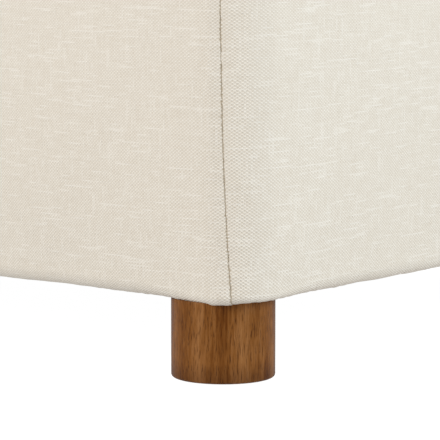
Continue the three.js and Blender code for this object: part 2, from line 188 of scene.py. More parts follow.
def tidy_mesh(obj):
    """Merges points that coincide, and turns all faces outward."""
    distance = 1e-6
    bm = bmesh.new()
    bm.from_mesh(obj.data)
    bmesh.ops.remove_doubles(bm, verts=bm.verts, dist=distance)
    bmesh.ops.dissolve_degenerate(bm, edges=bm.edges, dist=distance)
    bmesh.ops.recalc_face_normals(bm, faces=bm.faces)
    bm.to_mesh(obj.data)
    bm.free()


def turned(name, profile, centre, segments):
    """A body of revolution about Z from (radius, height) pairs that start and end on the axis."""
    vertices = []
    for radius, height in profile:
        for step in range(segments):
            turn = 2 * math.pi * step / segments
            vertices.append((
                centre[0] + radius * math.cos(turn), centre[1] + radius * math.sin(turn), height,
            ))
    faces, _ = grid_faces(len(profile), segments, True)
    obj = mesh_object(name, vertices, faces)
    tidy_mesh(obj)
    return obj


def arc_profile(centre_radius, centre_height, radius, start, end, steps=8):
    points = []
    for step in range(steps + 1):
        turn = start + (end - start) * step / steps
        points.append((
            centre_radius + radius * math.cos(turn), centre_height + radius * math.sin(turn),
        ))
    return points


# Cloth under pressure

def inflated(points, pinned, pressure, limit):
    """How far each point of a ring moves when it is cloth, held at the pinned points and pushed
    out from inside. No point moves more than the limit."""
    faces, _ = grid_faces(*points.shape[:2], True)
    flat = points.reshape(-1, 3)
    keys, first, where = np.unique(
        np.round(flat, 6), axis=0, return_index=True, return_inverse=True,
    )
    where = where.ravel()
    merged = []
    for face in faces:
        corners = list(dict.fromkeys(where[list(face)]))
        if len(corners) > 2:
            merged.append(corners)
    obj = mesh_object("inflating", keys, merged)
    group = obj.vertex_groups.new(name="held")
    held = sorted(set(where[pinned.ravel()].tolist()))
    group.add(held, 1.0, "REPLACE")
    cloth = obj.modifiers.new("cloth", "CLOTH")
    for setting, value in {
        "quality": 6, "mass": 0.3, "tension_stiffness": 40, "compression_stiffness": 40,
        "shear_stiffness": 20, "bending_stiffness": 2, "vertex_group_mass": "held",
        "use_pressure": True, "uniform_pressure_force": pressure,
    }.items():
        setattr(cloth.settings, setting, value)
    cloth.settings.effector_weights.gravity = 0
    scene = bpy.context.scene
    for number in range(1, 21):
        scene.frame_set(number)
    evaluated = obj.evaluated_get(bpy.context.evaluated_depsgraph_get())
    moved = np.zeros(len(keys) * 3)
    evaluated.data.vertices.foreach_get("co", moved)
    move = moved.reshape(-1, 3) - keys
    scene.frame_set(1)
    bpy.data.objects.remove(obj)
    length = np.linalg.norm(move, axis=1, keepdims=True)
    move *= limit / np.maximum(length.max(), limit)
    return move[where].reshape(points.shape)


def sampled(field, row_at, column_at, rows, columns):
    """Values of a grid field between its own rows and columns."""
    r = np.interp(rows, row_at, np.arange(len(row_at)))
    c = np.interp(columns, column_at, np.arange(len(column_at)))
    r0 = np.minimum(r.astype(int), len(row_at) - 2)
    c0 = np.minimum(c.astype(int), len(column_at) - 2)
    fr = (r - r0)[..., None]
    fc = (c - c0)[..., None]
    top = field[r0, c0] * (1 - fc) + field[r0, c0 + 1] * fc
    bottom = field[r0 + 1, c0] * (1 - fc) + field[r0 + 1, c0 + 1] * fc
    return top * (1 - fr) + bottom * fr


# The plan outline, as a distance along it from the middle of the front

HALF_CORNER = CORNER_RADIUS * QUARTER / 2


def half_flat(long_side):
    """Half the length of a side's straight part."""
    return (HALF_X if long_side else HALF_Y) - CORNER_RADIUS


def side_start(index):
    """Distance along the outline of the middle of a side."""
    flats = [half_flat(long_side) for _, long_side in SIDES]
    distance = 0
    for step in range(index):
        distance += flats[step] + 2 * HALF_CORNER + flats[step + 1]
    return distance


OUTLINE = 4 * (HALF_X + HALF_Y - 2 * CORNER_RADIUS + 2 * HALF_CORNER)


def on_side(index, along):
    """Centre of curvature and outward direction in plan at a distance from a side's middle."""
    long_side = SIDES[index][1]
    flat = half_flat(long_side)
    turn = np.sign(along) * np.maximum(np.abs(along) - flat, 0) / CORNER_RADIUS
    x = np.clip(along, -flat, flat)
    y = np.full_like(x, -half_flat(not long_side))
    out_x, out_y = np.sin(turn), -np.cos(turn)
    c, s = round(math.cos(index * QUARTER)), round(math.sin(index * QUARTER))
    centre = np.stack([c * x - s * y, s * x + c * y], -1)
    out = np.stack([c * out_x - s * out_y, s * out_x + c * out_y], -1)
    return centre, out


def outline_place(distance):
    """The same, for a distance along the whole outline."""
    distance = np.mod(distance, OUTLINE)
    centre = np.zeros(distance.shape + (2,))
    out = np.zeros(distance.shape + (2,))
    for index in range(4):
        half = half_flat(SIDES[index][1]) + HALF_CORNER
        along = np.mod(distance - side_start(index) + OUTLINE / 2, OUTLINE) - OUTLINE / 2
        here = np.abs(along) <= half + 1e-9
        side_centre, side_out = on_side(index, along)
        centre[here], out[here] = side_centre[here], side_out[here]
    return centre, out


# The upright section of a cover: five stretches, each 0 to 1

def section(position, low_radius, low, high, high_radius, low_turn_in, high_turn_in):
    """Inset, height, and the surface's direction (outward, upward) at positions 0 to 5."""
    position, low_radius = np.broadcast_arrays(position, low_radius)
    part = np.minimum(position.astype(int), 4)
    t = position - part
    sine, cosine = np.sin(t * QUARTER), np.cos(t * QUARTER)
    zero = 0 * t
    stretches = [
        (low_turn_in + (low_radius - low_turn_in) * t, low + zero, zero, zero - 1),
        (low_radius * (1 - sine), low + low_radius * (1 - cosine), sine, -cosine),
        (zero, low + low_radius + (high - high_radius - low - low_radius) * t, zero + 1, zero),
        (high_radius * (1 - cosine), high - high_radius + high_radius * sine, cosine, sine),
        (high_radius + (high_turn_in - high_radius) * t, high + zero, zero, zero + 1),
    ]
    return [np.choose(part, values) for values in zip(*stretches)]


def placed(centre, out, inset, height, outward, upward, lift):
    """Points of a surface set in from the outline and lifted off its own face."""
    reach = (CORNER_RADIUS - inset + lift * outward)[..., None]
    return at_height(centre + out * reach, height + lift * upward)


def thread_places(distance, inset, height, rows, shape):
    """Weave coordinates: the distance round the outline, and the length of cloth upward."""
    up = height + inset * np.sign(rows - 2.5)
    return np.stack([np.broadcast_to(distance, shape), np.broadcast_to(up, shape)], -1)


# Body covers

SECTION_STEPS = [(0, 1, 4), (1, 2, 10), (2, 2.1, 14), (2.1, 3, 84), (3, 4, 9), (4, 5, 4)]
COARSE_STEPS = [(0, 1, 1), (1, 2, 2), (2, 3, 26), (3, 4, 2), (4, 5, 1)]
SWELL_PRESSURE = 4.0
SWELL_LIMIT = 0.0035


def seam_turn(height):
    """How far round the corner from the front the seam lies: it leans, most near the bottom, and
    runs straight again where it turns under."""
    lean = 14.7 * np.exp(-(height - 0.056) / 0.091) - 1.2 * np.exp(-((height - 0.053) / 0.006) ** 2)
    return np.radians(19.4 + lean)


def seam_reach(long_side, height):
    """Distance from a side's middle to the seam at its end."""
    turn = seam_turn(height)
    return half_flat(long_side) + CORNER_RADIUS * (turn if long_side else QUARTER - turn)


def body_section(rows, low_radius=EDGE_RADIUS):
    return section(
        rows, low_radius, BODY_LOW, BODY_HIGH, EDGE_RADIUS, BASE_TURN_IN, RIM_TURN_IN,
    )


def edge_radius_at(from_corner):
    """The turned-under edge is tight at the corners, where the cloth is folded double."""
    return CORNER_EDGE_RADIUS + (EDGE_RADIUS - CORNER_EDGE_RADIUS) * smooth(0.01, 0.09, from_corner)


def wall_swell():
    """The slight outward swell of the four walls between seams, from a cloth simulation."""
    rows = spaced(*COARSE_STEPS)
    columns = np.linspace(0, OUTLINE, 253)
    centre, out = outline_place(columns[:-1])
    points = placed(centre, out, *body_section(rows[:, None]), 0)
    pinned = np.zeros(points.shape[:2], bool)
    pinned[rows <= 1.5] = True
    pinned[rows >= 3.5] = True
    for index in range(4):
        corner = side_start(index) + half_flat(SIDES[index][1]) + HALF_CORNER
        pinned[:, np.argmin(np.abs(columns[:-1] - corner))] = True
    move = inflated(points, pinned, SWELL_PRESSURE, SWELL_LIMIT)
    return rows, columns, np.concatenate([move, move[:, :1]], 1)


def cover_columns(half_flat):
    """Shares of the half width of a cover, close together next to the seam."""
    near = np.concatenate([
        [0, 0.25, 0.5, 0.8, 1.2, 1.7, 2.4, 3.2], np.arange(4.2, 60, 1.4), np.arange(60, 110, 2.2),
    ]) / 1000
    far = np.linspace(near[-1], half_flat, max(8, round((half_flat - near[-1]) / 0.006)))[1:]
    from_edge = np.concatenate([near, far])
    one_side = half_flat - from_edge[::-1]
    return np.concatenate([-one_side[:0:-1], one_side]) / half_flat


def hem_drop(into_corner, from_seam, long_side):
    """How far the bottom edge hangs below its level: the corner folds are thick, and those of the
    front and back lie over those of the sides."""
    if long_side:
        fold = np.exp(-((into_corner + 0.010) / 0.005) ** 2)
        fold = fold + np.exp(-((into_corner - 0.006) / 0.003) ** 2)
        return 0.0009 * smooth(-0.034, -0.018, into_corner) + 0.0005 * fold
    lifted = 0.00055 * np.exp(-((from_seam - 0.012) / 0.007) ** 2)
    return 0.00015 - lifted - 0.0005 * np.exp(-((from_seam - 0.065) / 0.030) ** 2)


def stretched_length(distance, long_side):
    """Threads counted from a seam, as a length of unstretched cloth: the cloth is pulled most near
    the corners, and more across the sides than across the front and back."""
    far, near, reach = (0.90, 0.38, 0.07) if long_side else (1.19, 0.15, 0.07)
    return reach / far * (np.log(far * np.exp(distance / reach) + near) - np.log(far + near))


def body_cover(index, swell):
    name, long_side = SIDES[index]
    flat = half_flat(long_side)
    rows = spaced(*SECTION_STEPS)[:, None]
    share = cover_columns(flat + CORNER_RADIUS * 0.45)[None]
    reach = seam_reach(long_side, body_section(rows)[1])
    along = share * reach
    from_seam = reach - np.abs(along)
    from_corner = np.abs(np.abs(along) - flat - HALF_CORNER)
    inset, height, outward, upward = body_section(rows, edge_radius_at(from_corner))
    centre, out = on_side(index, along)
    seed = 11 * (index + 1)
    on_wall = smooth(0.6, 2.0, rows) * (1 - smooth(3.2, 4.0, rows))
    groove = 0.00034 * np.exp(-from_seam / 0.0004) + 0.0004 * np.exp(-from_seam / 0.004)
    allowance = 0.00035 * np.exp(-((from_seam - 0.0065) / 0.003) ** 2)
    pucker = 0.00012 * np.exp(-from_seam / 0.007) * waves(seed, height, 0 * height, 0.011, 5)
    drift = 0.00028 * waves(seed + 1, along, height, 0.11) * smooth(0, 0.05, from_seam)
    hem = 0.00022 * waves(seed + 2, along, 0 * height, 0.055, 5)
    hem = hem + 0.00010 * waves(seed + 3, along, 0 * height, 0.0055, 6)
    hem = hem * smooth(0.5, 1.2, rows) * (1 - smooth(2.0, 2.08, rows))
    lift = (allowance + pucker + drift) * on_wall + hem - groove * smooth(1.0, 2.06, rows)
    points = placed(centre, out, inset, height, outward, upward, lift)
    into_corner = np.abs(along) - flat
    hanging = smooth(0.25, 0.9, rows) * (1 - smooth(1.0, 2.12, rows))
    points[..., 2] -= hem_drop(into_corner, from_seam, long_side) * hanging
    coarse_rows, coarse_columns, move = swell
    distance = np.mod(side_start(index) + along, OUTLINE)
    distance = np.broadcast_to(distance, points.shape[:2])
    points += sampled(move, coarse_rows, coarse_columns, rows + 0 * along, distance)
    thread_at = np.sign(along) * (
        stretched_length(reach, long_side) - stretched_length(from_seam, long_side)
    )
    weave = thread_places(side_start(index) + thread_at, inset, height, rows, points.shape[:2])
    obj = grid_object(f"{name}_cloth", points, weave, seam=from_seam)
    finish_piece(obj, "base", "linen_cloth", f"{name}_cover")


# Rings: surfaces that go all the way round, and close over the middle

def ring_columns():
    """Distances along the outline, close together at the four seams, and how far each is from
    the nearest seam."""
    distances = []
    from_seam = []
    for index, (_, long_side) in enumerate(SIDES):
        reach = seam_reach(long_side, BODY_HIGH)
        along = cover_columns(reach)[:-1] * reach
        distances += list(side_start(index) + along)
        from_seam += list(reach - np.abs(along))
    return np.array(distances), np.array(from_seam)


def toward_ridge(edge, shares):
    """Rows of plan points from a rounded rectangle to the line that it shrinks to: shares of the
    way, one row each."""
    reach = HALF_X - HALF_Y
    ridge = np.stack([np.clip(edge[..., 0], -reach, reach), 0 * edge[..., 1]], -1)
    return edge[None] + (ridge - edge)[None] * np.asarray(shares)[:, None, None]


def crown_height(plan, inset, rise, reach=0.19):
    """How far a surface rises from its edge, over the reach, to a nearly flat middle."""
    def part(distance):
        return 1 - (1 - np.clip(distance / reach, 0, 1)) ** 3
    across = part(HALF_X - inset - np.abs(plan[..., 0]))
    along = part(HALF_Y - inset - np.abs(plan[..., 1]))
    return rise * across * along


def closed_weave(weave, wall_rows=0):
    """Adds the column that closes a ring's weave coordinates. Those of the wall rows, the first,
    count on round the outline."""
    last = weave[:, :1].copy()
    last[:wall_rows, :, 0] += OUTLINE
    return np.concatenate([weave, last], 1)


def ring_section(rows, distances, from_seam, low, high, low_radius, high_radius, turn_ins):
    """A ring of wall with its edges turned in, and its weave coordinates."""
    rows = rows[:, None]
    centre, out = outline_place(distances[None])
    inset, height, outward, upward = section(rows, low_radius, low, high, high_radius, *turn_ins)
    corner_seam = 0.0016 * np.exp(-from_seam / 0.0006) + 0.0003 * np.exp(-from_seam / 0.004)
    ripple = 0.00022 * waves(5, distances[None], height, 0.09, 8)
    bulge = 0.0008 * np.sin(np.pi * np.clip((rows - 1.5) / 2, 0, 1))
    lift = (ripple + bulge - corner_seam[None]) * smooth(0.8, 1.5, rows)
    points = placed(centre, out, inset, height, outward, upward, lift)
    return points, thread_places(distances[None], inset, height, rows, points.shape[:2])


LID_SEAM_RADIUS = 0.0022
SEAM_TURN_IN = 0.007
LID_TOP_RADIUS = 0.0132
LID_TOP_EDGE = LID_SEAM + LID_SEAM_RADIUS + LID_TOP_RADIUS
CROWN_SHARES = list(np.linspace(0, 1, 30)[1:] ** 1.25)


def lid_band():
    rows = spaced((0, 1, 4), (1, 2, 7), (2, 3, 20), (3, 4, 6), (4, 5, 3))
    distances, from_seam = ring_columns()
    points, weave = ring_section(
        rows, distances, from_seam, LID_LOW, LID_SEAM, EDGE_RADIUS, LID_SEAM_RADIUS,
        (RIM_TURN_IN, SEAM_TURN_IN),
    )
    pucker = waves(61, distances, 0 * distances, 0.012, 6)[None] * 0.00016
    points[..., 2] += pucker * smooth(2.6, 4.0, rows)[:, None]
    band_seam = np.minimum(from_seam[None], np.abs(points[..., 2] - LID_SEAM) + 0.0004)
    weave = closed_weave(weave, len(rows))
    obj = grid_object("lid_band_cloth", points, weave, wrapped=True, seam=band_seam)
    finish_piece(obj, "lid", "linen_cloth", "lid_band")
    length = LID_SEAM - LID_LOW + RIM_TURN_IN + SEAM_TURN_IN
    length -= (2 - QUARTER) * (EDGE_RADIUS + LID_SEAM_RADIUS)


def top_rows(distances):
    """The top of the lid above its seam: the rounded edge, then the crown up to the middle."""
    edge_rows = spaced((0, 1, 3), (1, 2, 6), (3, 4, 12))
    still = np.full(len(distances), 1.0)
    points, _ = ring_section(
        edge_rows, distances, still, LID_SEAM, LID_TOP_EDGE, LID_SEAM_RADIUS, LID_TOP_RADIUS,
        (SEAM_TURN_IN, LID_TOP_RADIUS),
    )
    edge = points[-1, :, :2]
    plan = toward_ridge(edge, CROWN_SHARES)
    height = LID_TOP_EDGE + crown_height(plan, LID_TOP_RADIUS, LID_TOP - LID_TOP_EDGE)
    height += 0.00035 * waves(83, plan[..., 0], plan[..., 1], 0.12) * crown_height(
        plan, LID_TOP_RADIUS, 1.0, 0.05,
    )
    arc = LID_TOP_RADIUS * QUARTER
    direction = outline_place(distances)[1]
    edge_weave = []
    for row in edge_rows:
        down = arc * (4 - row) if row > 3 else arc + LID_SEAM_RADIUS * (2 - row)
        edge_weave.append(edge + direction * down)
    weave = np.concatenate([np.array(edge_weave), plan])
    return np.concatenate([points, at_height(plan, height)]), closed_weave(weave)


def lid_top():
    distances, _ = ring_columns()
    points, weave = top_rows(distances)
    pucker = waves(62, distances, 0 * distances, 0.012, 6) * 0.00016
    fade = 1 - smooth(0, 0.010, points[..., 2] - LID_SEAM)
    points[..., 2] += pucker[None] * fade
    top_seam = np.abs(points[..., 2] - LID_SEAM) + 0.0004
    obj = grid_object("lid_top_cloth", points, weave, wrapped=True, thickness=0, seam=top_seam)
    tidy_mesh(obj)
    thicken(obj)
    finish_piece(obj, "lid", "linen_cloth", "lid_top_cover")


def lid_pad():
    """The foam under the lid's cloth, open below where the board fills it."""
    board_low, board_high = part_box("lid_board")
    side = HALF_X - board_high.x
    distances = np.linspace(0, OUTLINE, 241)[:-1]
    centre, out = outline_place(distances)

    def ring(inset, height):
        return at_height(centre + out * (CORNER_RADIUS - inset), height)

    low = board_low.z + 0.001
    centre_height = LID_LOW + EDGE_RADIUS
    edge_radius = EDGE_RADIUS - SKIN
    rings = [ring(side - 0.0003, low)]
    for turn in np.linspace(math.asin((centre_height - low) / edge_radius), 0, 7):
        rings.append(ring(
            EDGE_RADIUS - edge_radius * math.cos(turn),
            centre_height - edge_radius * math.sin(turn),
        ))
    rings += [ring(SKIN, height) for height in np.linspace(centre_height, LID_SEAM, 6)[1:]]
    for step in range(1, 9):
        turn = QUARTER * step / 8
        radius = LID_TOP_RADIUS + LID_SEAM_RADIUS - SKIN
        rings.append(ring(
            SKIN + radius * (1 - math.cos(turn)), LID_SEAM + radius * math.sin(turn),
        ))
    plan = toward_ridge(rings[-1][:, :2], np.linspace(0, 1, 14)[1:])
    height = rings[-1][0, 2] + crown_height(plan, LID_TOP_RADIUS, LID_TOP - LID_TOP_EDGE) * 0.98
    rings += list(at_height(plan, height))
    under = [ring(side - 0.0003, board_high.z + 0.0003)]
    plan = toward_ridge(under[0][:, :2], np.linspace(0, 1, 10)[1:])
    under += list(at_height(plan, board_high.z + 0.0003))
    rings = under[::-1] + rings
    faces, _ = grid_faces(len(rings), len(distances), True)
    obj = mesh_object("lid_pad", np.array(rings).reshape(-1, 3), faces)
    tidy_mesh(obj)
    finish_piece(obj, "lid", "foam", "lid_foam")


def wall_pad(index):
    """The foam over one wall of the body: a slab that follows the outline."""
    name, long_side = SIDES[index]
    low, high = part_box(f"{name}_foam")
    flat = half_flat(long_side)
    bend = np.linspace(flat, seam_reach(long_side, BODY_HIGH) - 0.003, 7)
    along = np.concatenate([-bend[::-1], np.linspace(-flat, flat, 41)[1:-1], bend])
    centre, out = on_side(index, along)
    outline = []
    inner, outer = 0.0095, SKIN
    for inset, height in [
        (inner, low.z + 0.002), (outer + 0.003, low.z), (outer, low.z + 0.008),
        (outer, (low.z + high.z) / 2), (outer, high.z - 0.008), (outer + 0.003, high.z),
        (inner, high.z - 0.002), (inner, (low.z + high.z) / 2),
    ]:
        outline.append(at_height(centre + out * (CORNER_RADIUS - inset), height))
    points = np.array(outline).transpose(1, 0, 2)
    faces, _ = grid_faces(len(along), len(outline), True)
    count = len(outline)
    faces += [tuple(range(count))[::-1], tuple(range((len(along) - 1) * count, len(along) * count))]
    obj = mesh_object(f"{name}_pad", points.reshape(-1, 3), faces)
    tidy_mesh(obj)
    soften(obj, 0.0015)
    finish_piece(obj, "base", "foam", f"{name}_foam")


# Flat sheets and the liner of the storage space

def flat_sheet(name, node, body, height, inset, fall, slot, seed):
    """A cloth that closes the underside of the body or of the lid, stretched nearly flat."""
    distances = np.linspace(0, OUTLINE, 361)[:-1]
    centre, out = outline_place(distances)
    folded = [centre + out * (CORNER_RADIUS - inset - fold) for fold in (0, 0.004)]
    plan = np.concatenate([np.array(folded), toward_ridge(folded[1], np.linspace(0, 1, 26)[1:])])
    tight = crown_height(plan, inset, 1.0, 0.12)
    level = height - fall * tight * (1 + 0.25 * waves(seed, plan[..., 0], plan[..., 1], 0.2))
    tack = waves(seed + 1, distances, 0 * distances, 0.045, 5)[None] * 0.00005
    level = level + tack * (1 - smooth(0, 0.5, tight))
    obj = grid_object(name, at_height(plan, level), closed_weave(plan), wrapped=True, thickness=0)
    tidy_mesh(obj)
    if obj.data.polygons[0].normal.z > 0:
        obj.data.flip_normals()
    thicken(obj, THIN_CLOTH)
    finish_piece(obj, body, slot, node)


LINER_RADIUS = 0.016


def rounder(plan, inset, radius):
    """Plan points with each corner of the outline at this inset pulled in to a wider curve."""
    centre = HIGH[:2] - inset - radius
    past = np.abs(plan) - centre
    distance = np.maximum(np.linalg.norm(past, axis=-1, keepdims=True), radius)
    in_corner = (past > 0).all(-1, keepdims=True)
    return np.where(in_corner, np.sign(plan) * (centre + past * radius / distance), plan)


def storage_liner():
    """The pocket of lining cloth inside the body: four walls, a rounded foot and a floor.
    Its corners are wide enough to clear the straight inner faces of the posts."""
    low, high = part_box("storage_liner")
    inset = HALF_X - high.x
    foot = 0.006
    distances = np.linspace(0, OUTLINE, 481)[:-1]
    centre, out = outline_place(distances)
    rings = []
    plan_weave = []
    for share in np.linspace(0, 1, 40):
        height = high.z - (high.z - low.z - foot) * share
        lift = 0.0009 * waves(91, distances, 0 * distances + height, 0.12) * math.sin(math.pi * share)
        corner = np.abs(np.abs(out[:, 0]) - np.abs(out[:, 1]))
        lift = lift * (0.35 + 0.65 * corner) - 0.0003
        rings.append((CORNER_RADIUS - inset + np.minimum(lift, 0.0001) - 0.0004, height))
        plan_weave.append(at_height(distances[:, None], height))
    for step in range(1, 6):
        turn = QUARTER * step / 5
        reach = CORNER_RADIUS - inset - foot * (1 - math.cos(turn)) - 0.0007
        height = low.z + foot * (1 - math.sin(turn)) + 0.0012
        rings.append((np.full_like(distances, reach), height))
        plan_weave.append(at_height(distances[:, None], low.z + foot * (1 - turn)))
    points = []
    for reach, height in rings:
        half = HALF_X - CORNER_RADIUS + np.max(reach)
        plan = rounder(centre + out * reach[:, None], HALF_X - half, LINER_RADIUS - high.x + half)
        points.append(at_height(plan, height))
    plan = toward_ridge(points[-1][:, :2], np.linspace(0, 1, 22)[1:])
    level = low.z + 0.0012 + 0.0006 * (1 + waves(95, plan[..., 0], plan[..., 1], 0.15)) / 2
    points = np.concatenate([np.array(points), at_height(plan, level)])
    weave = closed_weave(np.concatenate([np.array(plan_weave), plan]), len(rings))
    obj = grid_object("storage_pocket", points, weave, wrapped=True, thickness=0)
    tidy_mesh(obj)
    thicken(obj, THIN_CLOTH)
    finish_piece(obj, "base", "lining_cloth", "storage_liner")


# Materials

class Tree:
    """A material's nodes, made one call at a time."""

    def __init__(self, name):
        self.material = bpy.data.materials.new(name)
        self.material.use_nodes = True
        self.tree = self.material.node_tree
        self.shader = self.tree.nodes["Principled BSDF"]

    def node(self, kind, inputs=None, **settings):
        made = self.tree.nodes.new(kind)
        for key, value in settings.items():
            setattr(made, key, value)
        for key, value in (inputs or {}).items():
            self.plug(made.inputs[key], value)
        return made

    def plug(self, socket, value):
        if isinstance(value, bpy.types.NodeSocket):
            self.tree.links.new(value, socket)
        else:
            socket.default_value = value

    def math(self, operation, *values):
        made = self.node("ShaderNodeMath", operation=operation)
        for socket, value in zip(made.inputs, values):
            self.plug(socket, value)
        return made.outputs[0]

    def weighted(self, *terms):
        """The sum of (value, weight) products."""
        parts = [self.math("MULTIPLY", value, weight) for value, weight in terms]
        total = parts[0]
        for part in parts[1:]:
            total = self.math("ADD", total, part)
        return total

    def vector(self, operation, a, b):
        return self.node("ShaderNodeVectorMath", {0: a, 1: b}, operation=operation).outputs[0]

    def combine(self, x, y, z):
        return self.node("ShaderNodeCombineXYZ", {"X": x, "Y": y, "Z": z}).outputs[0]

    def place(self):
        return self.node("ShaderNodeTexCoord").outputs["Object"]

    def level(self):
        return self.node("ShaderNodeSeparateXYZ", {"Vector": self.place()}).outputs["Z"]

    def noise(self, vector, scale, detail=2.0, roughness=0.5):
        return self.node("ShaderNodeTexNoise", {
            "Vector": vector, "Scale": scale, "Detail": detail, "Roughness": roughness,
        }).outputs["Fac"]

    def remap(self, value, low, high, to_low=0.0, to_high=1.0):
        return self.node("ShaderNodeMapRange", {
            "Value": value, "From Min": low, "From Max": high, "To Min": to_low, "To Max": to_high,
        }).outputs["Result"]

    def mix(self, factor, a, b, blend="MIX"):
        made = self.node("ShaderNodeMix", data_type="RGBA", blend_type=blend)
        colours = [socket for socket in made.inputs if socket.type == "RGBA"]
        self.plug(made.inputs["Factor"], factor)
        self.plug(colours[0], a)
        self.plug(colours[1], b)
        return next(socket for socket in made.outputs if socket.type == "RGBA")

    def bump(self, height, strength, distance):
        inputs = {"Height": height, "Strength": strength, "Distance": distance}
        return self.node("ShaderNodeBump", inputs).outputs["Normal"]

    def finish(self, **sockets):
        for key, value in sockets.items():
            self.plug(self.shader.inputs[key.replace("_", " ")], value)
        return self.material


def linear(red, green, blue):
    """A colour given as it shows on a screen, 0 to 255, as the light value that a shader takes."""
    def one(value):
        value /= 255
        return value / 12.92 if value <= 0.04045 else ((value + 0.055) / 1.055) ** 2.4
    return (one(red), one(green), one(blue), 1.0)


def weave_coordinates(tree, pitch, wander):
    """Thread numbers across and up the cloth, from its UV map, with threads that wander a little."""
    place = tree.node("ShaderNodeUVMap", uv_map="weave").outputs[0]
    split = tree.node("ShaderNodeSeparateXYZ", {"Vector": place})
    other = tree.vector("ADD", place, (3.7, 1.9, 0.0))
    counts = []
    for axis, spacing, source in [("X", pitch[0], place), ("Y", pitch[1], other)]:
        drift = tree.math("SUBTRACT", tree.noise(source, 24.0, 2.0), 0.5)
        count = tree.math("MULTIPLY", split.outputs[axis], 1 / spacing)
        counts.append(tree.math("ADD", count, tree.math("MULTIPLY", drift, wander)))
    return counts


def along_threads(tree, number, along, reach, seed):
    """Noise that is another from thread to thread, and changes slowly along each."""
    whole = tree.math("FLOOR", number)
    cell = tree.combine(
        tree.math("MULTIPLY", whole, 7.313), tree.math("MULTIPLY", along, 1 / reach), seed + 0.37,
    )
    return tree.noise(cell, 1.0, 1.0)


def linen_material(name, thread, gap, light, pitch=THREAD_PITCH):
    """Plain weave with thick and thin threads and slubs, the gaps between them a darker colour that
    is partly the holes and partly painted shade. The weave stands out more low down and next to a
    seam, and the seam itself shows as a ragged dark line of painted shade in its groove."""
    tree = Tree(name)
    across, up = weave_coordinates(tree, pitch, 1.2)
    wave_a = tree.math("SINE", tree.math("MULTIPLY", across, math.pi))
    wave_b = tree.math("SINE", tree.math("MULTIPLY", up, math.pi))
    over = tree.math("MULTIPLY", wave_a, wave_b)
    cell = tree.math("ABSOLUTE", over)
    thick_up = along_threads(tree, across, up, 9.0, 1.0)
    thick_across = along_threads(tree, up, across, 9.0, 9.0)
    streak_across = along_threads(tree, up, across, 16.0, 17.0)
    streak_up = along_threads(tree, across, up, 14.0, 23.0)
    fibre = tree.noise(tree.combine(across, up, 0.0), 1.3, 2.0, 0.7)
    slub = tree.remap(streak_across, 0.60, 0.68)
    slub_up = tree.remap(streak_up, 0.63, 0.71)
    open_weave = tree.remap(tree.level(), 0.22, 0.08, 0.42, 0.66)
    nearest = tree.node("ShaderNodeAttribute", attribute_name="seam").outputs["Fac"]
    open_weave = tree.math("ADD", open_weave, tree.remap(nearest, 20.0, 4.0, 0.0, 0.18))
    # pit marks the gaps between threads; the gap colour mixed in there is partly the holes, partly
    # painted shade between threads.
    pit = tree.remap(tree.weighted((over, open_weave), (cell, 0.3)), 0.35, -0.25)
    height = tree.weighted(
        (over, open_weave), (cell, 0.25), (thick_across, 0.45), (thick_up, 0.35),
        (fibre, 0.22), (slub, 0.14), (slub_up, 0.10),
    )
    tone = tree.weighted((thick_across, 0.5), (thick_up, 0.5))
    colour = tree.mix(tree.remap(tone, 0.22, 0.78), thread, light)
    colour = tree.mix(tree.math("MULTIPLY", pit, 0.5), colour, gap)
    bright = tree.math("MAXIMUM", slub, tree.math("MULTIPLY", slub_up, 0.7))
    colour = tree.mix(tree.math("MULTIPLY", bright, 0.45), colour, light)
    # Painted shade in the seam's groove: a ragged dark line of colour along the seam.
    ragged = tree.math("MULTIPLY", tree.math("SUBTRACT", thick_across, 0.5), 2.4)
    line = tree.remap(tree.math("ADD", nearest, ragged), 0.75, 0.25)
    colour = tree.mix(tree.math("MULTIPLY", line, 0.55), colour, linear(160, 140, 106))
    bump = tree.bump(height, 0.8, 0.00030)
    return tree.finish(
        Base_Color=colour, Normal=bump, Roughness=0.93, Sheen_Weight=0.08, Sheen_Roughness=0.5,
        Specular_IOR_Level=0.2,
    )


